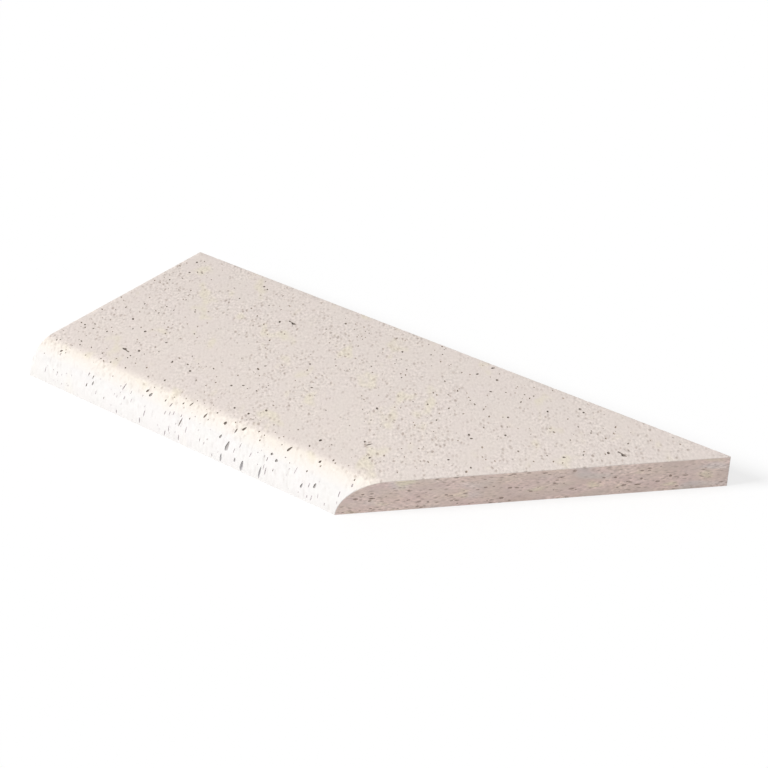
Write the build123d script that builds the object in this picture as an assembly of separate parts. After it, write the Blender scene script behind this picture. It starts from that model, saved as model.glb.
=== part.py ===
from build123d import *

import os
from math import radians, sqrt, tan

# A pool coping corner: one slab of pale pored stone. Its pool side is rounded, one end is
# square, to meet the straight coping, and the other is mitred, to meet its mirror image in
# the corner of the pool.
#
# X runs along the pool side, Y from the pool side to the back and Z up from the bed.
# The origin is on the bed, under the middle of the slab's outline.

# Driving dimensions, in millimetres and degrees
POOL_SIDE = 600.0  # length of the rounded side, from the square end to the mitre
WIDTH = 400.0  # from the pool side to the back
THICKNESS = 50.0  # from the bed to the walking face
NOSE_RADIUS = 55.0  # round of the pool side, tangent to the walking face
MITRE_ANGLE = 45.0  # between the mitre and the back, seen from above
ARRIS = 1.0  # round that takes the sharpness off the sawn edges


def back_length():
    """Length of the back edge, from the square end to the tip of the mitre."""
    return POOL_SIDE + WIDTH / tan(radians(MITRE_ANGLE))


def section():
    """The slab's section, with the pool side at Y = 0 and the bed at Z = 0."""
    nose_drop = min(NOSE_RADIUS, THICKNESS)
    nose_run = sqrt(NOSE_RADIUS**2 - (NOSE_RADIUS - nose_drop) ** 2)
    nose_foot = (0, THICKNESS - nose_drop)
    nose_top = (nose_run, THICKNESS)
    with BuildSketch(Plane.YZ) as sketch:
        with BuildLine():
            RadiusArc(nose_foot, nose_top, NOSE_RADIUS)
            Polyline(nose_top, (WIDTH, THICKNESS), (WIDTH, 0), (0, 0))
            if nose_drop < THICKNESS:
                Line((0, 0), nose_foot)
        make_face()
    return sketch.sketch


def outline():
    """The slab seen from above: square at the near end and mitred at the far end."""
    corners = [(0, 0), (POOL_SIDE, 0), (back_length(), WIDTH), (0, WIDTH)]
    with BuildSketch(Plane.XY) as sketch:
        with BuildLine():
            Polyline(*corners, close=True)
        make_face()
    return sketch.sketch


def sawn_edges(slab):
    """The edges where sawn faces meet, apart from the bed's and the nose's tangent lines."""
    bed = slab.faces().sort_by(Axis.Z)[0]
    nose_lines = slab.faces().filter_by(GeomType.CYLINDER).edges().filter_by(Axis.X)
    left_sharp = bed.edges() + nose_lines
    return [edge for edge in slab.edges() if not any(edge.is_same(other) for other in left_sharp)]


def coping_slab():
    """The whole stone: its section run along the pool side and cut to its outline."""
    blank = extrude(section(), back_length())
    slab = (blank & extrude(outline(), THICKNESS)).solid()
    slab = fillet(sawn_edges(slab), ARRIS).solid()
    middle = slab.bounding_box().center()
    return Pos(-middle.X, -middle.Y, 0) * slab


os.makedirs("parts", exist_ok=True)
stone = coping_slab()
export_step(stone, "parts/coping_slab.step")
size = stone.bounding_box().size
litres = stone.volume / 1e6
print(f"coping_slab {size.X:.2f} x {size.Y:.2f} x {size.Z:.2f} mm, {litres:.3f} litres")
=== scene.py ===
import math
import random

import bmesh
import bpy
from bpy.props import FloatProperty, FloatVectorProperty, IntProperty, PointerProperty
from mathutils import Euler, Matrix, Vector, noise
from mathutils.geometry import delaunay_2d_cdt


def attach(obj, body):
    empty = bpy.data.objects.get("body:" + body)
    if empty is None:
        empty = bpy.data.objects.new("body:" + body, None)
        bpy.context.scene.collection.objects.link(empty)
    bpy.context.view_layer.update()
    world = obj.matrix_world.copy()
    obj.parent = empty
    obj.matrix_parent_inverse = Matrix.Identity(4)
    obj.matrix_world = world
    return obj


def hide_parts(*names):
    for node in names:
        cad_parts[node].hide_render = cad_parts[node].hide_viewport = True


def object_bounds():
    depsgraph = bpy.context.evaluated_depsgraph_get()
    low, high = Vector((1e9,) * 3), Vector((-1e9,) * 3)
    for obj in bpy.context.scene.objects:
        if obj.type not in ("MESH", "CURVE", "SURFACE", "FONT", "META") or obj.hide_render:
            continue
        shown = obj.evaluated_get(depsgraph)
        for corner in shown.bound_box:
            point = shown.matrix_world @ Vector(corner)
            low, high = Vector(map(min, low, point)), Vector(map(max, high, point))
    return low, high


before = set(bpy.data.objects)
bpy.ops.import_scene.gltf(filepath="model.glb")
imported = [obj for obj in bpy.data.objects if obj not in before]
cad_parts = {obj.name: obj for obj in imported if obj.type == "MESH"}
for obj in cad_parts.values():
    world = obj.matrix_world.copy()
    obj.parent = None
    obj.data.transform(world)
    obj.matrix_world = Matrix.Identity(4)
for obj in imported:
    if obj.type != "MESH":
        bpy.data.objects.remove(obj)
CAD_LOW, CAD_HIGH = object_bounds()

bl_info = {
    "name": "Pool Coping Corner",
    "version": (1, 0, 0),
    "blender": (4, 5, 0),
    "location": "3D View > Sidebar > Coping",
    "description": "Builds the pored stone of a mitred pool coping corner and a plain studio for it",
    "category": "Add Mesh",
}

MM = 0.001
GRAIN_TURN = math.radians(36)  # between the back and the way across the grain of the top
NOSE_FADE = 16 * MM  # depth under the walking face at which the nose's painted glare colour is full
NOSE_LININGS = 8 * MM  # depth under the walking face from which pores are lined as on the nose

# Sizes of the patterns in the stone, in millimetres
CLOUD = 36
CROWDING = 45
SPECK = 7
SPECK_WANDER = 4
GRAIN = 4.5
BED = 45
COOL_PATCH = 40
DUST = 14
CRYSTAL = 2

# Narrowest and widest of each sort of scattered pore, in millimetres
LARGE_PORE = (2.8, 4.4)
MEDIUM_PORE = (3.2, 5.4)
SMALL_PORE = (2.2, 3.4)
PINHOLE = (1.3, 2.2)
PORE_CLUSTER = 55 * MM  # distance over which pores crowd together and thin out

# The sawn faces' scattered pores, against the settings: how many times as many and as deep
SAWN_PLENTY = 2.3
SAWN_DEPTH = 0.34

# How the mesh is divided
ARRIS_STEPS = 6  # across the round of an arris
ARRIS_STEP = 0.4 * MM
NOSE_STEP = 2.5 * MM
FLAT_STEP = 3 * MM
FOOT_STEP = 6 * MM
NOSE_GRID = (8 * MM, 3.5 * MM)  # between loose points, along and up the side
TOP_GRID = (9 * MM, 9 * MM)
END_GRID = (9 * MM, 6 * MM)
BED_GRID = (12 * MM, 12 * MM)
MIDDLE_RING = 0.72  # share of a pore's rim at which its wall grows less steep
FLOOR_RING = 0.38  # share of a pore's rim at which its floor starts
WELD = 2e-6  # points nearer than this are one
SLIVER = 1e-7  # edges shorter than this collapse
SMOOTH_ANGLE = math.radians(28)

# Numbers of the stone's materials, in the order of stone_materials
BRUSHED, SAWN, OPEN_LINING, SAWN_LINING, NOSE_LINING, CLEAN_LINING, GROUND_LINING = range(7)

# The studio: lengths in metres and angles in degrees
CAMERA_PLACE = (1.3567, -1.8080, 1.4860)
CAMERA_TILT = 31.93  # down from the level
CAMERA_TURN = 36.15  # to the left of straight across the pool side
CAMERA_ROLL = 0.99
CAMERA_LENS = 85.1  # in millimetres, for a sensor 36 mm wide
KEY_DIRECTION = (0.56, 0.56, -0.46)
KEY_SPREAD = 22
FLOOR_HALF = 40.0
FLOOR_GAP = 0.2 * MM  # between the floor and the bed, so that the two faces never meet
FLOOR_GLOW = 0.65  # share of the floor's white that needs no light

# This stone's largest pores, which are clean and dark, their dark lining partly painted shade: how far
# each is along the side it is on and up it, its length and width in millimetres, and how far its
# length is turned in degrees. Up the nose and the walking face is measured along the surface, from the
# foot.
FORKED_PORES = ((125, 114, 18, 9, 173), (274, 337, 18, 9, -7), (874, 337, 18, 9.6, -7))
TOP_PORES = (
    (143, 125, 7.2, 4.4, 129), (256, 327, 7.2, 4.4, 129), (857, 327, 7.2, 4.6, 129),
    (110, 174, 5.6, 4.8, 90), (68, 191, 6.8, 4, 129), (35, 361, 4.6, 4, 20), (21, 395, 5.6, 4.4, 129),
    (163, 400, 5, 4.2, 120), (173, 396, 4.6, 3.4, 129), (205, 132, 8, 2.8, 118), (244, 129, 6.4, 4.2, 129),
    (364, 92, 5.8, 4, 129), (405, 115, 6.2, 4.2, 129), (516, 102, 6.6, 5, 90), (568, 138, 5.4, 3.6, 129),
    (577, 136, 12, 2.6, 61), (598, 110, 5, 3.6, 60), (529, 219, 7, 3.6, 130), (374, 256, 5.4, 3.4, 129),
    (463, 372, 5.4, 3.6, 129), (600, 418, 7.4, 4.6, 50), (624, 393, 6.2, 4.6, 129),
    (591, 389, 5.8, 4.4, 60), (635, 360, 5, 3.6, 20), (694, 317, 5.4, 3.6, 129),
    (731, 366, 5.4, 3.6, 129), (765, 401, 5.4, 4.6, 20), (774, 396, 5, 3.8, 129),
    (813, 279, 5.4, 4.2, 20), (675, 244, 5.6, 3.8, 129), (683, 238, 5.4, 4.2, 20),
    (717, 275, 5.4, 3.8, 129), (724, 177, 5.4, 3.4, 129), (688, 174, 4.8, 3.6, 60),
    (418, 205, 4.8, 3.6, 45), (324, 210, 4.8, 3.2, 45), (320, 136, 5, 4, 129),
    (159, 169, 4.6, 3.2, 30), (334, 147, 4.8, 3.6, 45),
)
NOSE_PORES = (
    (397, 28, 17, 6, 88), (391, 8, 15, 3.8, 92), (430, 10, 18, 6, 88), (463, 12, 22, 3.8, 87),
    (416, 14, 7.5, 3.6, 90), (380, 37, 7, 4, 80), (375, 58, 6.4, 5.6, 90), (408, 62, 9, 4.2, 75),
    (338, 56, 10, 3.2, 85), (305, 64, 9, 2.4, 80), (492, 62, 12, 4.2, 75), (484, 38, 5.5, 4.6, 0),
    (472, 44, 5, 4, 0), (537, 20, 8.5, 4, 80), (558, 28, 8.5, 4.2, 82), (546, 63, 5.6, 3.8, 80),
    (234, 51, 7.4, 5, 75), (225, 55, 7.4, 4, 75), (43, 57, 5.6, 3.8, 50), (128, 31, 7.5, 3, 90),
)
MITRE_PORES = (
    (52, 23, 10, 2.8, 0), (29, 24, 8, 4, 0), (39, 31, 5, 2.8, 0), (381, 30, 5.5, 3, 0),
    (398, 29, 5.4, 3.2, 0), (436, 24, 5, 2.8, 0), (460, 17, 7.5, 3, 0), (478, 25, 5, 4.4, 0),
    (500, 24, 9.5, 2.6, 0), (431, 14, 12, 2.6, 5), (235, 8, 8, 4, 5), (335, 15, 9, 3, 5),
    (436, 37, 5.5, 3, 0), (338, 45, 7, 3, 0), (212, 28, 6.5, 2.6, 0), (296, 45, 9, 2.4, 0),
)
# The walking face's pores of middle size: only how far along and how far up they are
TOP_SPOTS = (
    (29, 405), (128, 366), (153, 324), (53, 372), (78, 316), (61, 306), (88, 287), (39, 339), (38, 317),
    (41, 258), (49, 238), (56, 226), (61, 214), (83, 253), (87, 230), (42, 167), (40, 131), (60, 151),
    (129, 206), (146, 232), (164, 236), (175, 216), (130, 268), (193, 321), (209, 357), (236, 376),
    (233, 358), (266, 285), (286, 302), (270, 415), (246, 236), (290, 251), (218, 163), (206, 147),
    (132, 87), (164, 95), (186, 96), (161, 76), (120, 71), (309, 164), (335, 183), (247, 146), (232, 86),
    (355, 395), (371, 396), (363, 381), (358, 324), (328, 354), (399, 344), (432, 400), (446, 403),
    (507, 320), (470, 347), (499, 334), (503, 392), (429, 314), (418, 312), (395, 291), (410, 218),
    (564, 342), (593, 338), (590, 314), (577, 303), (569, 305), (570, 378), (583, 381), (617, 410),
    (659, 396), (654, 372), (679, 384), (692, 389), (679, 410), (652, 321), (671, 302), (612, 284),
    (609, 264), (637, 285), (581, 274), (560, 266), (616, 247), (681, 273), (671, 222), (639, 171),
    (659, 147), (669, 152), (754, 252), (768, 325), (792, 268), (807, 261), (785, 244), (811, 356),
    (835, 357), (838, 375), (867, 365), (831, 391), (730, 411), (765, 367), (797, 322), (828, 309),
    (819, 266), (722, 209), (729, 207), (708, 229),
)
# Outline of a forked pore, as shares of half its length and width: a slot with a broad head
FORK = (
    (-1, 0.05), (-0.9, -0.3), (-0.5, -0.3), (-0.15, -0.25), (0.15, -0.9), (0.45, -1), (0.7, -0.6),
    (1, -0.3), (0.8, 0.1), (0.45, 0.3), (0, 0.2), (-0.5, 0.25), (-0.9, 0.35),
)


def linear(hex_colour):
    """Turns an sRGB hex value into linear red, green and blue."""
    values = [int(hex_colour[i : i + 2], 16) / 255 for i in (1, 3, 5)]
    return [v / 12.92 if v <= 0.04045 else ((v + 0.055) / 1.055) ** 2.4 for v in values]


# Sizes and colours


def length_property(name, description, default, **limits):
    return FloatProperty(
        name=name, description=description, default=default, subtype="DISTANCE", unit="LENGTH", **limits
    )


def colour_property(name, description, hex_colour):
    return FloatVectorProperty(
        name=name, description=description, default=linear(hex_colour), min=0, max=1, subtype="COLOR"
    )


def amount_property(name, description, default):
    return FloatProperty(name=name, description=description, default=default, min=0)


class CopingStoneSettings(bpy.types.PropertyGroup):
    """The slab's sizes and the colours of its stone."""

    pool_side: length_property(
        "Pool side", "Length of the rounded side, from the square end to the mitre", 600 * MM, min=200 * MM
    )
    width: length_property(
        "Width", "From the pool side to the back", CAD_HIGH.y - CAD_LOW.y, min=150 * MM
    )
    thickness: length_property(
        "Thickness", "From the bed to the walking face", CAD_HIGH.z - CAD_LOW.z, min=20 * MM
    )
    nose_radius: length_property(
        "Nose radius", "Round of the pool side, tangent to the walking face", 55 * MM, min=20 * MM
    )
    mitre_angle: FloatProperty(
        name="Mitre angle",
        description="Between the mitre and the back, seen from above",
        default=math.radians(45),
        min=math.radians(30),
        max=math.radians(80),
        subtype="ANGLE",
        unit="ROTATION",
    )
    arris: length_property(
        "Arris", "Round that takes the sharpness off the sawn edges", 1 * MM, min=0.5 * MM, max=3 * MM
    )
    ground_colour: colour_property("Stone", "Main colour of the stone", "#E1D6CF")
    # Painted highlight: the nose's rim is paler where it starts to turn towards the key light
    rim_highlight_colour: colour_property(
        "Nose rim", "Colour of the stone where the nose starts to turn down", "#EAE1D7"
    )
    # Painted glare: the nose is whiter than the walking face where the key light falls on it
    nose_glare_colour: colour_property(
        "Ground nose", "Colour of the stone where the nose is ground round", "#DBD8D6"
    )
    # Painted shade: the sawn faces are pinker than the walking face, the warm tint of the shaded mitre put
    # into their colour
    sawn_colour: colour_property(
        "Sawn stone", "Colour of the stone on its sawn ends, back and bed", "#E3CEC5"
    )
    cool_colour: colour_property(
        "Cool patches", "Colour of the faint greyer patches on the sawn faces", "#DCD5D2"
    )
    cream_colour: colour_property(
        "Cream clouds", "Colour of the faint yellower clouds in the stone", "#E3DBC0"
    )
    speck_colour: colour_property(
        "Closed pores", "Colour of the small specks where pores are filled", "#9C8A7E"
    )
    # Partly painted shade: the clean and open pore linings are darker than the stone, partly its darker
    # grains and partly shade that the shallow pits do not cast
    clean_lining_and_shade_colour: colour_property(
        "Clean lining", "Colour inside the largest pores, which hold no dust", "#8A7F77"
    )
    lining_colour: colour_property("Pore lining", "Colour inside the small open pores", "#958A80")
    dusty_lining_colour: colour_property(
        "Dusty lining", "Colour inside open pores that hold dust", "#B4A599"
    )
    # Painted glare: the nose's pores are lined paler than those of the walking face
    nose_glare_lining_colour: colour_property(
        "Nose lining", "Colour inside the pores that grinding filled on the nose", "#CCC4C6"
    )
    # Partly painted shade: the grey lining of the nose's largest pores stands partly for shade inside them
    ground_lining_colour: colour_property(
        "Large nose pores", "Colour inside the largest pores high on the nose", "#A29D9A"
    )
    # Painted glare: the largest pores at the nose's foot are lined paler still
    foot_glare_lining_colour: colour_property(
        "Large filled pores", "Colour inside the largest pores at the nose's foot", "#C8C5C6"
    )
    # Partly painted shade: the sawn pores are lined darker, partly the stone's grains and partly shade
    # that the shallow pores do not cast
    sawn_lining_colour: colour_property(
        "Sawn lining", "Colour inside the shallow pores of the sawn faces", "#AD998F"
    )


class CopingPoreSettings(bpy.types.PropertyGroup):
    """How many open pores of each size the stone has, per square decimetre of its surface."""

    pinholes: amount_property("Pinholes", "Pores 1.3 to 2.2 mm wide, per square decimetre", 7)
    small: amount_property("Small pores", "Pores 2.2 to 3.4 mm wide, per square decimetre", 9)
    medium: amount_property("Medium pores", "Pores 3.2 to 5.4 mm wide, per square decimetre", 0.6)
    large: amount_property("Large pores", "Forked pores 5 to 10 mm long, per square decimetre", 0.1)
    seed: IntProperty(
        name="Seed", description="Another number gives another stone from the same quarry", default=11
    )


class CopingStageSettings(bpy.types.PropertyGroup):
    """The plain studio round the stone."""

    key_strength: amount_property(
        "Key", "Strength of the key light, which comes from the left of the pool side", 2.9
    )
    sky_strength: amount_property("Sky", "Strength of the even light from all round", 0.54)
    floor_colour: colour_property(
        "Floor", "Colour with which the floor lights the stone from below", "#E6E6E6"
    )


# The stone's shape


class Section:
    """The slab's section as one path from the foot of the nose, over the top, to the back's foot.

    Distances along the path are in metres; each point and outward normal is (y, z).
    """

    def __init__(self, width, thickness, nose_radius, arris):
        self.radius = nose_radius
        self.arris = arris
        self.nose_run = math.sqrt(nose_radius**2 - (nose_radius - thickness) ** 2)
        self.nose_centre = (self.nose_run, thickness - nose_radius)
        self.foot_angle = math.asin((nose_radius - thickness) / nose_radius)
        self.nose_end = nose_radius * (math.pi / 2 - self.foot_angle)
        self.arris_start = self.nose_end + width - arris - self.nose_run
        self.arris_end = self.arris_start + math.pi / 2 * arris
        self.length = self.arris_end + thickness - arris
        self.width = width
        self.thickness = thickness

    def at(self, distance):
        """Point and outward normal at a distance along the path."""
        if distance < self.nose_end:
            angle = self.foot_angle + distance / self.radius
            normal = (-math.cos(angle), math.sin(angle))
            centre, reach = self.nose_centre, self.radius
        elif distance <= self.arris_start:
            return (self.nose_run + distance - self.nose_end, self.thickness), (0, 1)
        elif distance < self.arris_end:
            angle = (distance - self.arris_start) / self.arris
            normal = (math.sin(angle), math.cos(angle))
            centre, reach = (self.width - self.arris, self.thickness - self.arris), self.arris
        else:
            return (self.width, self.length - distance), (1, 0)
        return (centre[0] + reach * normal[0], centre[1] + reach * normal[1]), normal

    def stations(self):
        """Distances at which the ends of the slab are divided: closer together on the rounds."""
        return (
            spaced(0, self.nose_end, NOSE_STEP)[:-1]
            + spaced(self.nose_end, self.arris_start, FLAT_STEP)[:-1]
            + spaced(self.arris_start, self.arris_end, ARRIS_STEP)[:-1]
            + spaced(self.arris_end, self.length, FLAT_STEP)
        )


class EndPlane:
    """A sawn end of the slab: a standing plane with its outward normal (x, y)."""

    def __init__(self, normal, offset):
        self.normal = Vector((normal[0], normal[1], 0))
        self.offset = offset
        self.along = Vector((-normal[1], normal[0], 0))

    def ball_centre(self, section, distance):
        """Where a ball that rounds the arris touches both the section and this plane."""
        (y, z), (normal_y, normal_z) = section.at(distance)
        y -= section.arris * normal_y
        z -= section.arris * normal_z
        x = (self.offset - section.arris - self.normal.y * y) / self.normal.x
        return Vector((x, y, z))


def spaced(start, end, step):
    """Even distances from start to end, no further apart than step."""
    count = max(1, math.ceil((end - start) / step - 1e-6))
    return [start + (end - start) * i / count for i in range(count + 1)]


def chip(spot):
    """Depth of the small chips that handling leaves along an arris, at a point of the slab."""
    return MM * max(0.0, 1.6 * noise.noise(spot / (7 * MM)) - 0.3)


class Pore:
    """One open pore: an irregular rim round a centre, with rings that step down to its floor.

    lobes is how many arms a forked one has, taper narrows it towards its far end, and outline
    gives its shape as shares of half its length and width.
    """

    def __init__(self, rng, centre, length, width, turn, lobes=0, taper=0.0, outline=None):
        self.centre = centre
        self.half_length = length / 2
        self.half_width = width / 2
        self.turn = turn
        self.depth = width * rng.uniform(0.3, 0.6)
        points = 6 if width < 2 * MM else 8 if width < 3 * MM else 11
        if length > 2.2 * width:
            points += 4
        if lobes:
            points = 18
            self.depth = width * rng.uniform(0.4, 0.6)
        start = rng.uniform(0, math.tau)
        arms = [rng.uniform(0, math.tau) for _ in range(lobes)]
        self.shape = []
        for i in range(points):
            angle = start + math.tau * (i + rng.uniform(-0.25, 0.25)) / points
            reach = rng.uniform(0.82, 1.0)
            if lobes:
                near = max(math.exp(-((math.remainder(angle - a, math.tau) / 0.42) ** 2)) for a in arms)
                reach *= 0.36 + 0.64 * near
            a, b = math.cos(angle) * reach, math.sin(angle) * reach
            self.shape.append((a, b * (1 - taper * a)))
        if outline:
            worn = [rng.uniform(0.94, 1.0) for _ in outline]
            self.shape = [(a * share, b * share) for (a, b), share in zip(outline, worn)]

    def ring(self, share):
        """The pore's outline at a share of its full size."""
        cosine, sine = math.cos(self.turn), math.sin(self.turn)
        ring = []
        for a, b in self.shape:
            a *= self.half_length * share
            b *= self.half_width * share
            ring.append((self.centre[0] + a * cosine - b * sine, self.centre[1] + a * sine + b * cosine))
        return ring

    def discs(self):
        """Centres of discs, each half a width in radius, that cover the pore."""
        reach = max(0.0, self.half_length - self.half_width)
        count = max(1, math.ceil(reach / self.half_width))
        steps = [reach * i / count for i in range(-count, count + 1)] if reach else [0.0]
        return [
            (self.centre[0] + d * math.cos(self.turn), self.centre[1] + d * math.sin(self.turn))
            for d in steps
        ]


class Crowd:
    """Keeps discs apart, with a grid of cells to find the near ones."""

    CELL = 6 * MM  # more than the radius of any disc

    def __init__(self):
        self.cells = {}

    def free(self, discs, radius):
        """True if none of the discs comes near a disc that is already there."""
        for u, v in discs:
            reach = radius + self.CELL
            columns = range(math.floor((u - reach) / self.CELL), math.floor((u + reach) / self.CELL) + 1)
            rows = range(math.floor((v - reach) / self.CELL), math.floor((v + reach) / self.CELL) + 1)
            for column in columns:
                for row in rows:
                    for other_u, other_v, other in self.cells.get((column, row), ()):
                        if (u - other_u) ** 2 + (v - other_v) ** 2 < (radius + other) ** 2:
                            return False
        return True

    def add(self, discs, radius):
        """Notes discs, so that later ones keep clear of them."""
        for u, v in discs:
            cell = (math.floor(u / self.CELL), math.floor(v / self.CELL))
            self.cells.setdefault(cell, []).append((u, v, radius))


class Patch:
    """One side of the stone laid out flat, with its border, pores and loose points.

    place turns flat coordinates and a depth under the surface into a point of the slab.
    """

    def __init__(self, place):
        self.place = place
        self.flat = []
        self.solid = []
        self.edges = []
        self.rims = []
        self.linings = [None]
        self.crowd = Crowd()

    def point(self, u, v, depth=0.0, solid=None):
        """Adds a point, from flat coordinates and a depth, and gives its number."""
        self.flat.append(Vector((u, v)))
        self.solid.append(self.place(u, v, depth) if solid is None else solid)
        return len(self.flat) - 1

    def close_loop(self, indices):
        """Joins points into a ring of edges that the triangles keep."""
        self.edges.extend(zip(indices, indices[1:] + indices[:1]))

    def border(self, corners):
        """Sets the outline, from flat coordinates and their points of the slab."""
        turns = zip(corners, corners[1:] + corners[:1])
        if sum(u0 * v1 - u1 * v0 for ((u0, v0), _), ((u1, v1), _) in turns) < 0:
            corners = corners[::-1]
        self.outline = [self.point(u, v, solid=solid) for (u, v), solid in corners]
        self.close_loop(self.outline)

    def pore(self, pore, inside, lining="dusty"):
        """Cuts a pore, unless it would come too near the border or another one."""
        discs = pore.discs()
        clear = pore.half_width + 0.5 * MM
        if not (all(inside(u, v, clear) for u, v in discs) and self.crowd.free(discs, clear)):
            return
        self.crowd.add(discs, clear)
        # A pinhole is a plain pit, and a wider pore has a wall that steps down to its floor
        rim = [self.point(u, v) for u, v in pore.ring(1)]
        self.close_loop(rim)
        self.rims.append(rim)
        self.linings.append(lining)
        if len(rim) > 6:
            self.close_loop([self.point(u, v, 0.75 * pore.depth) for u, v in pore.ring(MIDDLE_RING)])
        if len(rim) > 8:
            self.close_loop([self.point(u, v, pore.depth) for u, v in pore.ring(FLOOR_RING)])
        else:
            self.point(*pore.centre, pore.depth)

    def set_large(self, rng, places, inside, start=0.0, depth=1.0, taper=0.0, outline=None):
        """Sets the largest pores where this stone has them, with u counted from start."""
        for u, v, length, width, turn in places:
            middle = (start + u * MM, v * MM)
            size = (length * MM, width * MM, math.radians(turn))
            pore = Pore(rng, middle, *size, taper=taper, outline=outline)
            pore.depth *= 0.8 * depth
            self.pore(pore, inside, lining="clean")

    def set_spots(self, rng, places, inside, shape_at):
        """Sets pores of middle size where this stone has them."""
        for u, v in places:
            middle = (u * MM, v * MM)
            stretch, turn, slimness = shape_at(rng, *middle)
            width = rng.uniform(2.6, 3.8) * slimness * MM
            pore = Pore(rng, middle, 1.25 * stretch * width, width, turn)
            pore.depth *= 0.6
            self.pore(pore, inside)

    def scatter(self, rng, pores, area, inside, shape_at, plenty=1.0, depth=1.0, fine=False):
        """Spreads pores over an area of the patch, largest first.

        plenty times as many as the settings say, depth times as deep, and without the two
        larger sorts where fine is True.
        """
        (low_u, low_v), (high_u, high_v) = area
        share = plenty * (high_u - low_u) * (high_v - low_v) / (100 * MM) ** 2
        sorts = (
            (pores.large, LARGE_PORE),
            (pores.medium, MEDIUM_PORE),
            (pores.small, SMALL_PORE),
            (pores.pinholes, PINHOLE),
        )
        for sort, (density, (narrow, wide)) in enumerate(sorts):
            if fine and sort < 2:
                continue
            for _ in range(round(density * share)):
                u, v = rng.uniform(low_u, high_u), rng.uniform(low_v, high_v)
                drift = noise.noise(Vector((u, v, sort)) / PORE_CLUSTER)
                if rng.random() > 0.72 + 1.5 * drift:
                    continue
                stretch, turn, slimness = shape_at(rng, u, v)
                width = (narrow + (wide - narrow) * rng.random() ** 1.6) * MM * slimness
                length = width * stretch * rng.uniform(1.0, 1.5)
                lobes = 0
                if sort == 0 and stretch < 2:
                    width *= rng.uniform(1.0, 1.3)
                    length = width * max(stretch, rng.uniform(1.3, 2.2))
                    lobes = rng.choice((2, 3, 3))
                pore = Pore(rng, (u, v), length, width, turn, lobes)
                pore.depth *= depth
                self.pore(pore, inside)

    def fill(self, rng, area, inside, step):
        """Adds loose points between the pores, so that no triangle grows long."""
        (low_u, low_v), (high_u, high_v) = area
        for u in spaced(low_u, high_u, step[0]):
            for v in spaced(low_v, high_v, step[1]):
                at = (u + rng.uniform(-0.2, 0.2) * step[0], v + rng.uniform(-0.2, 0.2) * step[1])
                clear = 0.35 * min(step)
                if inside(*at, clear) and self.crowd.free([at], 0.3 * MM):
                    self.point(*at)

    def triangles(self):
        """Corner numbers of each triangle, and the lining of the pore that it is in, or None."""
        _, _, faces, sources, _, owners = delaunay_2d_cdt(
            self.flat, self.edges, [self.outline] + self.rims, 1, 1e-9, True
        )
        first = [source[0] for source in sources]
        return [
            (tuple(first[i] for i in face), self.linings[max(face_owners)])
            for face, face_owners in zip(faces, owners)
            if 0 in face_owners
        ]


def arris_strip(section, end):
    """Points of the round between the section and an end, a row for each station."""
    rows = []
    for distance in section.stations():
        centre = end.ball_centre(section, distance)
        _, (normal_y, normal_z) = section.at(distance)
        side = Vector((0, normal_y, normal_z))
        angle = side.angle(end.normal)
        row = []
        for i in range(ARRIS_STEPS + 1):
            share = i / ARRIS_STEPS
            turned = side * math.sin((1 - share) * angle) + end.normal * math.sin(share * angle)
            spot = centre + section.arris / math.sin(angle) * turned
            if 0 < i < ARRIS_STEPS:
                spot -= chip(spot) * math.sin(math.pi * share) * turned.normalized()
            spot.z = max(spot.z, 0.0)
            row.append(spot)
        rows.append(row)
    return rows


def cap(end, rows, rng, pores, large=()):
    """The sawn face at one end, inside its arris, and the points of its foot."""
    base = end.normal * end.offset

    def place(u, v, depth):
        return base + end.along * u + Vector((0, 0, v)) - end.normal * depth

    def flat(spot):
        return (spot - base).dot(end.along), spot.z

    rim = [row[-1] for row in rows]
    near, far = rim[0], rim[-1]
    count = len(spaced(0, (far - near).length, FOOT_STEP)) - 1
    foot = [near.lerp(far, i / count) for i in range(1, count)]
    outline = [flat(spot) for spot in rim]
    border = [(flat(spot), spot) for spot in rim + foot[::-1]]
    patch = Patch(place)
    patch.border(border)
    inside = inside_polygon(outline)
    area = corners_of(outline)
    patch.set_large(rng, large, inside, start=outline[0][0], depth=0.38)
    patch.scatter(rng, pores, area, inside, sawn, plenty=SAWN_PLENTY, depth=SAWN_DEPTH)
    patch.fill(rng, area, inside, END_GRID)
    return patch, foot


def corners_of(outline):
    """Lowest and highest corner of a flat outline."""
    us, vs = [u for u, _ in outline], [v for _, v in outline]
    return (min(us), min(vs)), (max(us), max(vs))


def inside_polygon(outline):
    """A test for points that lie inside an outline and at least some way from it."""
    sides = list(zip(outline, outline[1:] + outline[:1]))

    def test(u, v, clear):
        crossings = 0
        for (u0, v0), (u1, v1) in sides:
            du, dv = u1 - u0, v1 - v0
            length = du * du + dv * dv
            t = min(1.0, max(0.0, ((u - u0) * du + (v - v0) * dv) / length)) if length else 0.0
            if (u - u0 - t * du) ** 2 + (v - v0 - t * dv) ** 2 < clear * clear:
                return False
            if (v0 > v) != (v1 > v) and u < u0 + (v - v0) / dv * du:
                crossings += 1
        return crossings % 2 == 1

    return test


def brushed(rng, x, distance):
    """On the walking face pores are nearly round, and lie along the grain."""
    return rng.uniform(1.0, 1.6), math.pi / 2 + GRAIN_TURN + rng.uniform(-0.5, 0.5), 0.9


def sawn(rng, u, v):
    """On the sawn faces pores are cut across, as short level slots."""
    return rng.uniform(1.5, 3.2), rng.uniform(-0.12, 0.12), 0.8


def any_way(rng, u, v):
    """On the bed pores are nearly round, and lie any way."""
    return 1.0, rng.uniform(0, math.pi), 1.0


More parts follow.
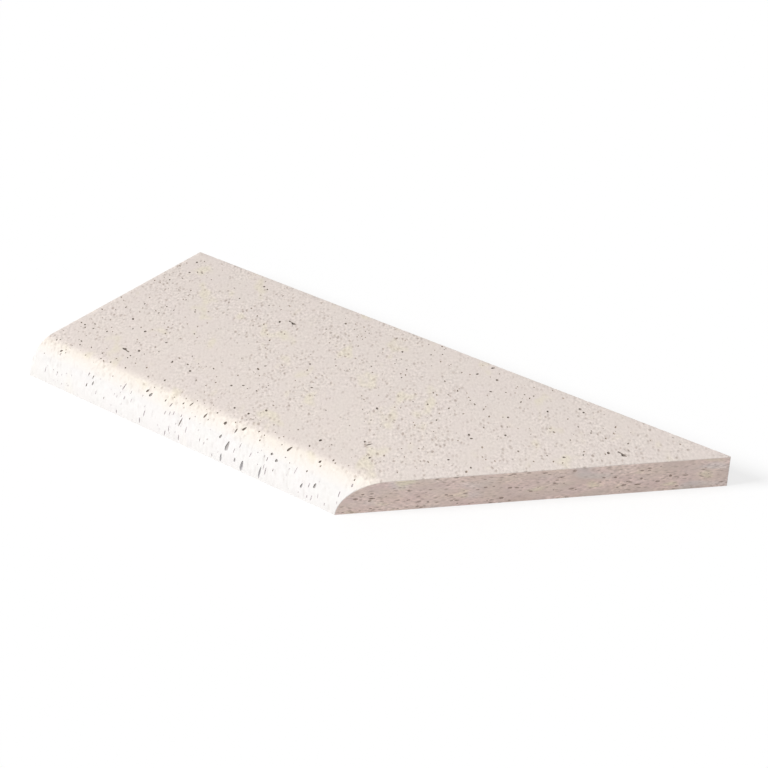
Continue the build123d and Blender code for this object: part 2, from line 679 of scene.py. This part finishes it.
class Slab:
    """The slab's section, its two ends and its skin, which is the nose, the walking face and the back.

    On the skin, x is along the pool side and distance is along the section.
    """

    def __init__(self, stone):
        self.section = Section(stone.width, stone.thickness, stone.nose_radius, stone.arris)
        sine, cosine = math.sin(stone.mitre_angle), math.cos(stone.mitre_angle)
        self.square = EndPlane((-1, 0), 0)
        self.mitre = EndPlane((sine, -cosine), stone.pool_side * sine)

    def skin(self, x, distance, depth=0.0):
        """A point at some depth under the skin."""
        (y, z), (normal_y, normal_z) = self.section.at(distance)
        return Vector((x, y - depth * normal_y, z - depth * normal_z))

    def on_skin(self, x, distance, clear):
        """Whether a place on the skin is at least some way from all its edges and arrises."""
        section = self.section
        if not clear < distance < section.length - clear:
            return False
        if section.arris_start - clear < distance < section.arris_end + clear:
            return False
        spread = clear * math.sqrt(2)
        before, beyond = max(0.0, distance - spread), min(section.length, distance + spread)
        return (
            x > self.square.ball_centre(section, distance).x + clear
            and x < self.mitre.ball_centre(section, before).x - spread
            and x < self.mitre.ball_centre(section, beyond).x - spread
        )

    def ground(self, rng, x, distance):
        """On the nose, grinding draws the pores out, more so towards the foot."""
        drawn = min(1.0, max(0.0, (0.85 - distance / self.section.nose_end) / 0.5))
        stretch = 1 + 5 * drawn * drawn * (3 - 2 * drawn) * rng.random() ** 1.4
        return stretch, math.pi / 2 + rng.uniform(-0.12, 0.12), 0.95 - 0.25 * drawn


def body_patch(slab, feet, backs, strips, rng, pores):
    """The slab's skin, unrolled along the section, between the arrises of its ends."""
    section = slab.section
    inner = list(zip(section.stations(), *strips))[1:-1]
    body = Patch(slab.skin)
    body.border(
        [((spot.x, 0), spot) for spot in feet]
        + [((row[0].x, distance), row[0]) for distance, _, row in inner]
        + [((spot.x, section.length), spot) for spot in reversed(backs)]
        + [((row[0].x, distance), row[0]) for distance, row, _ in reversed(inner)]
    )
    across = backs[-1].x
    nose = ((0, 0), (across, section.nose_end))
    top = ((0, section.nose_end), (across, section.arris_start))
    back = ((0, section.arris_end), (across, section.length))
    body.set_large(rng, FORKED_PORES, slab.on_skin, outline=FORK)
    body.set_large(rng, TOP_PORES, slab.on_skin)
    body.set_large(rng, NOSE_PORES, slab.on_skin, taper=0.35)
    body.set_spots(rng, TOP_SPOTS, slab.on_skin, brushed)
    body.scatter(rng, pores, nose, slab.on_skin, slab.ground, plenty=3.2, fine=True)
    body.scatter(rng, pores, top, slab.on_skin, brushed)
    body.scatter(rng, pores, back, slab.on_skin, sawn, plenty=SAWN_PLENTY, depth=SAWN_DEPTH)
    for distance in section.stations():
        if section.arris_start <= distance <= section.arris_end:
            turned = (distance - section.arris_start) / (section.arris_end - section.arris_start)
            bite = math.sin(math.pi * turned)
            low, high = (end.ball_centre(section, distance).x for end in (slab.square, slab.mitre))
            for x in spaced(low, high, FLAT_STEP)[1:-1]:
                body.point(x, distance, bite * chip(slab.skin(x, distance)))
    body.fill(rng, nose, slab.on_skin, NOSE_GRID)
    body.fill(rng, (top[0], back[1]), slab.on_skin, TOP_GRID)
    return body


def bed_patch(loop, corners, rng, pores):
    """The bed, bounded by the feet of all the other sides."""
    bed = Patch(lambda u, v, depth: Vector((v, u, depth)))
    bed.border([((spot.y, spot.x), spot) for spot in loop])
    inside = inside_polygon(corners)
    area = corners_of(corners)
    bed.scatter(rng, pores, area, inside, any_way, plenty=0.6)
    bed.fill(rng, area, inside, BED_GRID)
    return bed


def joined(patches, strips):
    """Vertices and faces of patches and arrises, and the number of each face's side and its lining."""
    vertices, faces, sides = [], [], []
    for number, patch in enumerate(patches):
        shift = len(vertices)
        vertices += patch.solid
        for corners, lining in patch.triangles():
            faces.append([shift + i for i in corners])
            sides.append((number, lining))
    for rows in strips:
        for row, following in zip(rows, rows[1:]):
            shift, count = len(vertices), len(row)
            vertices += row + following
            for i in range(count - 1):
                faces.append([shift + i, shift + i + 1, shift + count + i + 1, shift + count + i])
                sides.append((0, None))
    return vertices, faces, sides


def stone_mesh(stone, pores):
    """The whole stone: vertices, faces, and for each face its side and the lining of its pore."""
    rng = random.Random(pores.seed)
    slab = Slab(stone)
    strips = [arris_strip(slab.section, end) for end in (slab.square, slab.mitre)]
    start, stop = strips
    feet = [slab.skin(x, 0) for x in spaced(start[0][0].x, stop[0][0].x, FOOT_STEP)]
    back_x = spaced(start[-1][0].x, stop[-1][0].x, FOOT_STEP)
    backs = [slab.skin(x, slab.section.length) for x in back_x]
    body = body_patch(slab, feet, backs, strips, rng, pores)
    square_cap, square_foot = cap(slab.square, start, rng, pores)
    mitre_cap, mitre_foot = cap(slab.mitre, stop, rng, pores, MITRE_PORES)
    loop = feet + stop[0][1:] + mitre_foot + stop[-1][::-1][:-1]
    loop += backs[::-1] + start[-1][1:] + square_foot[::-1] + start[0][::-1][:-1]
    corners = [(0, 0), (0, stone.pool_side), (stone.width, backs[-1].x), (stone.width, 0)]
    bed = bed_patch(loop, corners, rng, pores)
    return joined((body, square_cap, mitre_cap, bed), strips)


def material_number(stone, side, lining, middle):
    """Which of the stone's materials a face has, by its side, its pore's lining and its middle."""
    if side or middle.y > stone.width - 1.5 * stone.arris:
        return SAWN if lining is None else SAWN_LINING
    if lining is None:
        return BRUSHED
    if middle.z < stone.thickness - NOSE_LININGS:
        return GROUND_LINING if lining == "clean" else NOSE_LINING
    return CLEAN_LINING if lining == "clean" else OPEN_LINING


def stone_piece(context):
    """Makes the stone as one closed mesh that stands for the slab."""
    stone = context.scene.coping_stone
    vertices, faces, sides = stone_mesh(stone, context.scene.coping_pores)
    mesh = bpy.data.meshes.new("coping_stone")
    mesh.from_pydata([spot + CAD_LOW for spot in vertices], [], faces)
    for material in stone_materials(stone):
        mesh.materials.append(material)
    for polygon, (side, lining) in zip(mesh.polygons, sides):
        polygon.material_index = material_number(stone, side, lining, polygon.center - CAD_LOW)
    work = bmesh.new()
    work.from_mesh(mesh)
    bmesh.ops.remove_doubles(work, verts=work.verts, dist=WELD)
    bmesh.ops.dissolve_degenerate(work, edges=work.edges, dist=SLIVER)
    bmesh.ops.recalc_face_normals(work, faces=work.faces)
    open_edges = sum(not edge.is_manifold for edge in work.edges)
    if open_edges:
        raise RuntimeError(f"the stone's mesh has {open_edges} open edges")
    work.to_mesh(mesh)
    work.free()
    mesh.polygons.foreach_set("use_smooth", [True] * len(mesh.polygons))
    mesh.set_sharp_from_angle(angle=SMOOTH_ANGLE)
    piece = bpy.data.objects.new("coping_stone", mesh)
    context.scene.collection.objects.link(piece)
    return piece


# Materials


def add(tree, kind, settings=None, **inputs):
    """Adds a shader node with its settings, and sets or links its inputs by name or number."""
    node = tree.nodes.new("ShaderNode" + kind)
    for name, value in (settings or {}).items():
        setattr(node, name, value)
    for name, value in inputs.items():
        socket = node.inputs[int(name[1:])] if name[1:].isdigit() else node.inputs[name.replace("_", " ")]
        if isinstance(value, bpy.types.NodeSocket):
            tree.links.new(value, socket)
        else:
            socket.default_value = value
    return node


def ramp(tree, value, start, stop, low, high, smooth=False):
    """A value's range from start to stop, turned into the range from low to high."""
    settings = {"interpolation_type": "SMOOTHSTEP" if smooth else "LINEAR"}
    ends = {"From_Min": start, "From_Max": stop, "To_Min": low, "To_Max": high}
    return add(tree, "MapRange", settings, Value=value, **ends).outputs[0]


def calculated(tree, operation, *values):
    """The result of an operation on numbers."""
    inputs = {f"_{i}": value for i, value in enumerate(values)}
    return add(tree, "Math", {"operation": operation}, **inputs).outputs[0]


def mixed(tree, share, first, second, blend="MIX"):
    """The first colour with a share of the second."""
    settings = {"data_type": "RGBA", "blend_type": blend}
    return add(tree, "Mix", settings, Factor=share, _6=first, _7=second).outputs[2]


def scaled(tree, colour, tone):
    """A colour made paler or darker."""
    return add(tree, "VectorMath", {"operation": "SCALE"}, _0=colour, Scale=tone).outputs[0]


def per(size_mm):
    """Texture scale that gives features of about this size in millimetres."""
    return 1 / (size_mm * MM)


def new_material(name):
    """A material without nodes, and its node tree."""
    material = bpy.data.materials.new(name)
    material.use_nodes = True
    material.node_tree.nodes.clear()
    return material, material.node_tree


def stone_colours(tree, stone, vector, ground, tint, strength, shade):
    """Clouds, closed pores and grain over the stone's ground, as colour and height sockets.

    tint is the share of the clouds' own soft hues, strength is the contrast of all the patterns,
    which on the nose also carries painted glare, and shade makes the whole paler or darker: a painted
    light falloff, and on the sawn faces also the bedding bands.
    """
    clouds = add(tree, "TexNoise", Vector=vector, Scale=per(CLOUD), Detail=1.0)
    cloudy = ramp(tree, clouds.outputs["Fac"], 0.59, 0.76, 0.0, 0.45, smooth=True)
    cream = calculated(tree, "MULTIPLY", cloudy, strength)
    clouded = mixed(tree, cream, ground, [*stone.cream_colour, 1])
    tinted = mixed(tree, tint, clouded, clouds.outputs["Color"], "SOFT_LIGHT")

    # Closed pores: small brown specks that crowd in some places and leave others bare
    crowding = add(tree, "TexNoise", Vector=vector, Scale=per(CROWDING), Detail=2.0)
    crowded = ramp(tree, crowding.outputs["Fac"], 0.38, 0.62, 0.3, 1.0, smooth=True)
    warp = add(tree, "TexNoise", Vector=vector, Scale=per(SPECK_WANDER), Detail=1.0)
    wander = add(
        tree, "VectorMath", {"operation": "MULTIPLY_ADD"},
        _0=warp.outputs["Color"], _1=(SPECK_WANDER * MM,) * 3, _2=vector,
    )
    cells = add(tree, "TexVoronoi", Vector=wander.outputs[0], Scale=per(SPECK))
    pick = add(tree, "SeparateColor", _0=cells.outputs["Color"])
    reach = ramp(tree, pick.outputs[0], 0.2, 1.0, 0.0, 0.7)
    spot = ramp(tree, cells.outputs["Distance"], 0.15, 0.5, 1.0, 0.0, smooth=True)
    speck = calculated(tree, "MULTIPLY", spot, reach)
    busy = calculated(tree, "MULTIPLY", crowded, strength)
    share = calculated(tree, "MULTIPLY", speck, busy)
    specked = mixed(tree, share, tinted, [*stone.speck_colour, 1])

    grain = add(tree, "TexNoise", Vector=vector, Scale=per(GRAIN), Detail=2.0, Roughness=0.5)
    lift = ramp(tree, grain.outputs["Fac"], 0.25, 0.75, -0.18, 0.18)
    tone = calculated(tree, "MULTIPLY_ADD", lift, busy, shade)
    height = calculated(tree, "SUBTRACT", grain.outputs["Fac"], speck)
    return scaled(tree, specked, tone), height


def finish_material(tree, colour, height, depth, smooth, rough):
    """A matt surface whose relief, of this depth, also varies its roughness."""
    bump = add(tree, "Bump", Strength=1.0, Distance=depth, Height=height)
    roughness = ramp(tree, height, 0.7, 0.0, smooth, rough)
    surface = add(
        tree, "BsdfPrincipled", Base_Color=colour, Roughness=roughness, IOR=1.5, Normal=bump.outputs[0]
    )
    add(tree, "OutputMaterial", Surface=surface.outputs[0])


def brushed_limestone(stone):
    """Limestone, brushed on its walking face and ground round on its nose: matt, with a fine grain.

    Grinding smears its grain downwards. The nose is painted glare of the key light: paler and
    calmer than the walking face, with a painted highlight as a cream rim along the top.
    """
    material, tree = new_material("brushed_limestone")
    place = add(tree, "TexCoord").outputs["Object"]
    axes = add(tree, "SeparateXYZ", _0=place)
    top = CAD_LOW.z + stone.thickness
    drop = ramp(tree, axes.outputs[2], top, top - NOSE_FADE, 0.0, 1.0)
    # Painted glare: down the nose the colour turns through the paler rim, a painted highlight, to the
    # whiter nose colour
    ground = add(tree, "ValToRGB", Fac=drop)
    stops = ground.color_ramp.elements
    stops[0].position, stops[0].color = 0.3 * MM / NOSE_FADE, [*stone.ground_colour, 1]
    stops[1].color = [*stone.nose_glare_colour, 1]
    stops.new(2.4 * MM / NOSE_FADE).color = [*stone.rim_highlight_colour, 1]
    # Painted glare: the patterns fade down the nose's top, to 0.22 of their contrast
    glare_calm = ramp(tree, drop, 0.0, 0.55, 1.0, 0.22)
    grained = add(
        tree, "Mapping", {"vector_type": "TEXTURE"},
        Vector=place, Rotation=(0, 0, GRAIN_TURN), Scale=(0.85, 1.4, 2.8),
    )
    # Painted light falloff: the walking face and nose are 3% paler at the pool side, down to 3% darker at
    # the back
    shade = ramp(tree, axes.outputs[1], CAD_LOW.y + 50 * MM, CAD_HIGH.y - 50 * MM, 1.03, 0.968)
    colour, height = stone_colours(tree, stone, grained.outputs[0], ground.outputs[0], 0.03, glare_calm, shade)
    finish_material(tree, colour, height, depth=0.25 * MM, smooth=0.7, rough=0.85)
    return material


def sawn_limestone(stone):
    """The same limestone, sawn: its bedding is cut across, so clouds and specks lie in level streaks."""
    material, tree = new_material("sawn_limestone")
    place = add(tree, "TexCoord").outputs["Object"]
    axes = add(tree, "SeparateXYZ", _0=place)
    # Painted light falloff: the sawn faces are 3% paler at the pool side, down to 4% darker at the back
    even = ramp(tree, axes.outputs[1], CAD_LOW.y, CAD_HIGH.y, 1.03, 0.96)
    bedding = add(tree, "Mapping", Vector=place, Scale=(0.75, 0.75, 2.0)).outputs[0]
    beds = add(tree, "TexNoise", Vector=bedding, Scale=per(BED), Detail=1.0)
    banded = ramp(tree, beds.outputs["Fac"], 0.3, 0.7, 0.92, 1.08)
    shade = calculated(tree, "MULTIPLY", banded, even)
    cooling = add(tree, "TexNoise", Vector=bedding, Scale=per(COOL_PATCH), Detail=0.0)
    cooled = ramp(tree, cooling.outputs["Fac"], 0.56, 0.76, 0.0, 0.5, smooth=True)
    # Painted shade: the sawn ground is the pinker sawn colour, tinted as the shaded mitre
    ground = mixed(tree, cooled, [*stone.sawn_colour, 1], [*stone.cool_colour, 1])
    colour, height = stone_colours(tree, stone, bedding, ground, 0.12, 1.5, shade)
    finish_material(tree, colour, height, depth=0.15 * MM, smooth=0.65, rough=0.8)
    return material


def finish_lining(tree, place, colour, contrast):
    """Small crystals that make a pore's inside quite matt, and its colour uneven."""
    crystals = add(tree, "TexNoise", Vector=place, Scale=per(CRYSTAL), Detail=3.0).outputs["Fac"]
    tone = ramp(tree, crystals, 0.3, 0.7, 1 - contrast, 1 + contrast)
    finish_material(tree, scaled(tree, colour, tone), crystals, depth=0.3 * MM, smooth=0.85, rough=0.95)


def pore_lining(name, dark, pale, dusty=0.38):
    """The inside of open pores, quite matt: a dark lining, partly the stone's darker grains and partly
    painted shade, with patches of pale dust; on the nose the pale patches are painted glare.
    """
    material, tree = new_material(name)
    place = add(tree, "TexCoord").outputs["Object"]
    filling = add(tree, "TexNoise", Vector=place, Scale=per(DUST), Detail=0.0)
    dust = ramp(tree, filling.outputs["Fac"], dusty, dusty + 0.2, 0.0, 1.0, smooth=True)
    finish_lining(tree, place, mixed(tree, dust, [*dark, 1], [*pale, 1]), contrast=0.2)
    return material


def ground_lining(stone):
    """Inside the nose's largest pores: grey, partly painted shade, and paler towards the foot as painted
    glare.
    """
    material, tree = new_material("ground_pore_lining")
    place = add(tree, "TexCoord").outputs["Object"]
    axes = add(tree, "SeparateXYZ", _0=place)
    # Painted glare: the lining grows paler from 28 mm down to 8 mm above the bed
    filled = ramp(tree, axes.outputs[2], CAD_LOW.z + 28 * MM, CAD_LOW.z + 8 * MM, 0.0, 1.0)
    ends = ([*stone.ground_lining_colour, 1], [*stone.foot_glare_lining_colour, 1])
    finish_lining(tree, place, mixed(tree, filled, *ends), contrast=0.0)
    return material


def stone_materials(stone):
    """All the stone's materials, in the order of their numbers."""
    return (
        brushed_limestone(stone),
        sawn_limestone(stone),
        pore_lining("open_pore_lining", stone.lining_colour, stone.dusty_lining_colour),
        pore_lining("sawn_pore_lining", stone.sawn_lining_colour, stone.speck_colour, dusty=0.45),
        # On the nose most pores take the paler nose lining: painted glare
        pore_lining("nose_pore_lining", stone.lining_colour, stone.nose_glare_lining_colour, dusty=0.24),
        pore_lining("clean_pore_lining", stone.clean_lining_and_shade_colour, stone.lining_colour, dusty=0.6),
        ground_lining(stone),
    )


# The studio


def white_where_seen(tree):
    """1 for rays that show the studio itself, to the camera or in gloss or glass, and else 0."""
    path = add(tree, "LightPath")
    seen = calculated(tree, "ADD", path.outputs["Is Camera Ray"], path.outputs["Is Glossy Ray"])
    return add(
        tree, "Math", {"operation": "ADD", "use_clamp": True},
        _0=seen, _1=path.outputs["Is Transmission Ray"],
    ).outputs[0]


def build_floor(context, settings):
    """A level white floor that keeps the stone's shadow."""
    mesh = bpy.data.meshes.new("studio_floor")
    level = CAD_LOW.z - FLOOR_GAP
    corners = [(FLOOR_HALF * x, FLOOR_HALF * y, level) for x, y in ((-1, -1), (1, -1), (1, 1), (-1, 1))]
    mesh.from_pydata(corners, [], [(0, 1, 2, 3)])
    floor = bpy.data.objects.new("studio_floor", mesh)
    context.scene.collection.objects.link(floor)
    material, tree = new_material("matt_white_paint")
    paint = add(tree, "BsdfDiffuse", Color=[*settings.floor_colour, 1])
    shown = add(tree, "BsdfDiffuse", Color=(1, 1, 1, 1))
    glow = add(tree, "Emission", Color=(1, 1, 1, 1), Strength=1.0)
    lit = add(tree, "MixShader", _0=FLOOR_GLOW, _1=shown.outputs[0], _2=glow.outputs[0])
    surface = add(
        tree, "MixShader", _0=white_where_seen(tree), _1=paint.outputs[0], _2=lit.outputs[0]
    )
    add(tree, "OutputMaterial", Surface=surface.outputs[0])
    mesh.materials.append(material)


def build_lights(context, settings):
    """Even light from all round, and a soft key from the left of the pool side."""
    world = bpy.data.worlds.new("studio")
    world.use_nodes = True
    tree = world.node_tree
    tree.nodes.clear()
    light = add(tree, "Background", Color=(1, 1, 1, 1), Strength=settings.sky_strength)
    white = add(tree, "Background", Color=(1, 1, 1, 1), Strength=1.0)
    surface = add(
        tree, "MixShader", _0=white_where_seen(tree), _1=light.outputs[0], _2=white.outputs[0]
    )
    add(tree, "OutputWorld", Surface=surface.outputs[0])
    context.scene.world = world
    lamp = bpy.data.lights.new("key", "SUN")
    lamp.energy = settings.key_strength
    lamp.angle = math.radians(KEY_SPREAD)
    key = bpy.data.objects.new("key", lamp)
    key.rotation_euler = Vector(KEY_DIRECTION).to_track_quat("-Z", "Y").to_euler()
    context.scene.collection.objects.link(key)


def build_camera(context):
    """The camera, above and in front of the mitred end."""
    data = bpy.data.cameras.new("camera")
    data.sensor_width = 36.0
    data.lens = CAMERA_LENS
    camera = bpy.data.objects.new("camera", data)
    camera.location = CAMERA_PLACE
    level = Euler((math.radians(90 - CAMERA_TILT), 0, math.radians(CAMERA_TURN))).to_matrix()
    roll = Matrix.Rotation(math.radians(CAMERA_ROLL), 3, "Z")
    camera.rotation_euler = (level @ roll).to_euler()
    context.scene.collection.objects.link(camera)
    context.scene.camera = camera


# Operators and panel


class CopingBuildStone(bpy.types.Operator):
    """Builds the pored stone over the slab"""

    bl_idname = "coping.build_stone"
    bl_label = "Build coping stone"

    def execute(self, context):
        piece = stone_piece(context)
        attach(piece, "root")
        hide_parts("coping_slab")
        return {"FINISHED"}


class CopingBuildStage(bpy.types.Operator):
    """Builds the plain studio: floor, light and camera"""

    bl_idname = "coping.build_stage"
    bl_label = "Build studio"

    def execute(self, context):
        settings = context.scene.coping_stage
        build_floor(context, settings)
        build_lights(context, settings)
        build_camera(context)
        context.scene.view_settings.view_transform = "Standard"
        return {"FINISHED"}


class CopingPanel(bpy.types.Panel):
    """Settings and build buttons of the coping stone"""

    bl_idname = "VIEW3D_PT_coping"
    bl_label = "Pool coping corner"
    bl_space_type = "VIEW_3D"
    bl_region_type = "UI"
    bl_category = "Coping"

    def draw(self, context):
        for group in (context.scene.coping_stone, context.scene.coping_pores, context.scene.coping_stage):
            box = self.layout.box()
            for name in group.__annotations__:
                box.prop(group, name)
        for operator in (CopingBuildStone, CopingBuildStage):
            self.layout.operator(operator.bl_idname)


CLASSES = (
    CopingStoneSettings,
    CopingPoreSettings,
    CopingStageSettings,
    CopingBuildStone,
    CopingBuildStage,
    CopingPanel,
)


def register():
    for cls in CLASSES:
        bpy.utils.register_class(cls)
    bpy.types.Scene.coping_stone = PointerProperty(type=CopingStoneSettings)
    bpy.types.Scene.coping_pores = PointerProperty(type=CopingPoreSettings)
    bpy.types.Scene.coping_stage = PointerProperty(type=CopingStageSettings)


def unregister():
    del bpy.types.Scene.coping_stage
    del bpy.types.Scene.coping_pores
    del bpy.types.Scene.coping_stone
    for cls in reversed(CLASSES):
        bpy.utils.unregister_class(cls)


def main():
    register()
    bpy.ops.coping.build_stone()
    bpy.ops.coping.build_stage()


if __name__ == "__main__":
    main()
